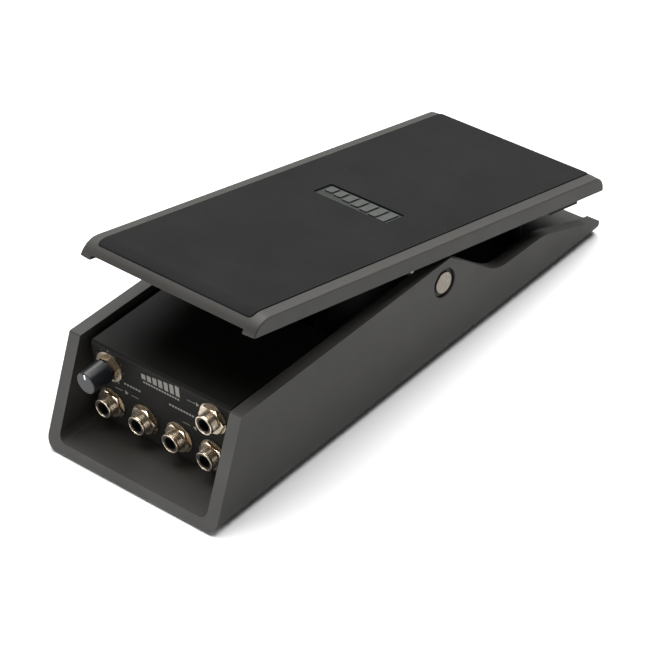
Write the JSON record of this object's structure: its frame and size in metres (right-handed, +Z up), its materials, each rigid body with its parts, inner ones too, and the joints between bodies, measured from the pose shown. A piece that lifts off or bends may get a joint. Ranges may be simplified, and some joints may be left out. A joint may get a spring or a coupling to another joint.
{
  "type": "volume pedal",
  "caption": "Foot-operated volume pedal: a rubber-topped treadle rocks on a U-shaped cast base, geared to a potentiometer, with jacks and a knob in the toe end.",
  "frame": {"origin": "centre of the pedal's outline at rest, on the floor plane under the rubber feet", "axes": "+Z up, +Y towards the heel end, +X to the right as seen from the toe end looking along +Y; the jacks face -Y"},
  "size_m": [0.108, 0.2899, 0.0948],
  "materials": {
    "axle_caps": "satin",
    "badge_bars": "satin",
    "badge_plate": "satin",
    "base_casting": "matte",
    "board_components": "gloss",
    "box_nuts": "satin",
    "box_screws": "satin",
    "bracket_screws": "satin",
    "cable_grommet": "matte",
    "circuit_board": "satin",
    "expression_jack_body": "satin",
    "expression_jack_bushing": "polished",
    "frame_screws": "satin",
    "gear_sector": "satin",
    "heel_stop_screws": "satin",
    "heel_stops": "matte",
    "hood_screws": "satin",
    "input_left_jack_body": "satin",
    "input_left_jack_bushing": "polished",
    "input_right_jack_body": "satin",
    "input_right_jack_bushing": "polished",
    "jack_box_hood": "satin",
    "jack_box_tray": "satin",
    "jack_nuts": "polished",
    "jack_pins": "satin",
    "jack_washers": "polished",
    "knob_pointer": "satin",
    "left_pivot_bush": "matte",
    "min_pot_nut": "polished",
    "min_pot_shaft": "satin",
    "min_pot_washer": "polished",
    "min_volume_knob": "gloss",
    "min_volume_pot": "satin",
    "output_left_jack_body": "satin",
    "output_left_jack_bushing": "polished",
    "output_right_jack_body": "satin",
    "output_right_jack_bushing": "polished",
    "pinion_gear": "satin",
    "pivot_axle": "satin",
    "pot_bracket": "satin",
    "pot_terminals": "satin",
    "right_pivot_bush": "matte",
    "rubber_feet": "matte",
    "sector_screws": "satin",
    "toe_stops": "matte",
    "treadle_casting": "matte",
    "treadle_frame": "satin",
    "treadle_mat": "matte",
    "volume_pot": "satin",
    "volume_pot_nut": "polished",
    "volume_pot_shaft": "satin"
  },
  "bodies": {
    "base": {"base_casting": "base_casting", "board_components": "board_components", "box_nuts": "box_nuts", "box_screws": "box_screws", "bracket_screws": "bracket_screws", "cable_grommet": "cable_grommet", "circuit_board": "circuit_board", "expression_jack_body": "expression_jack_body", "expression_jack_bushing": "expression_jack_bushing", "heel_stop_screws": "heel_stop_screws", "heel_stops": "heel_stops", "hood_screws": "hood_screws", "input_left_jack_body": "input_left_jack_body", "input_left_jack_bushing": "input_left_jack_bushing", "input_right_jack_body": "input_right_jack_body", "input_right_jack_bushing": "input_right_jack_bushing", "jack_box_hood": "jack_box_hood", "jack_box_tray": "jack_box_tray", "jack_nuts": "jack_nuts", "jack_pins": "jack_pins", "jack_washers": "jack_washers", "left_pivot_bush": "left_pivot_bush", "min_pot_nut": "min_pot_nut", "min_pot_washer": "min_pot_washer", "min_volume_pot": "min_volume_pot", "output_left_jack_body": "output_left_jack_body", "output_left_jack_bushing": "output_left_jack_bushing", "output_right_jack_body": "output_right_jack_body", "output_right_jack_bushing": "output_right_jack_bushing", "pot_bracket": "pot_bracket", "pot_terminals": "pot_terminals", "right_pivot_bush": "right_pivot_bush", "rubber_feet": "rubber_feet", "volume_pot": "volume_pot", "volume_pot_nut": "volume_pot_nut"},
    "treadle": {"treadle_casting": "treadle_casting", "treadle_mat": "treadle_mat", "badge_plate": "badge_plate", "badge_bars": "badge_bars", "treadle_frame": "treadle_frame", "frame_screws": "frame_screws", "toe_stops": "toe_stops", "gear_sector": "gear_sector", "sector_screws": "sector_screws", "pivot_axle": "pivot_axle", "axle_caps": "axle_caps"},
    "min_volume_control": {"min_volume_knob": "min_volume_knob", "knob_pointer": "knob_pointer", "min_pot_shaft": "min_pot_shaft"},
    "volume_drive": {"pinion_gear": "pinion_gear", "volume_pot_shaft": "volume_pot_shaft"}
  },
  "joints": [
    {"name": "treadle_rock", "type": "hinge", "parent": "base", "child": "treadle", "pos_m": [0, 0.02063, 0.0416], "axis": [1, 0, 0], "range_deg": [0, 14]},
    {"name": "min_volume_turn", "type": "hinge", "parent": "base", "child": "min_volume_control", "pos_m": [-0.033, -0.11677, 0.0397], "axis": [0, -1, 0], "range_deg": [-150, 150]},
    {"name": "volume_pot_turn", "type": "hinge", "parent": "base", "child": "volume_drive", "pos_m": [-0.008, -0.03295, 0.03215], "axis": [1, 0, 0], "range_deg": [-105, 0]}
  ],
  "couplings": [
    {"joint": "volume_pot_turn", "follows": "treadle_rock", "ratio": -7.5}
  ]
}
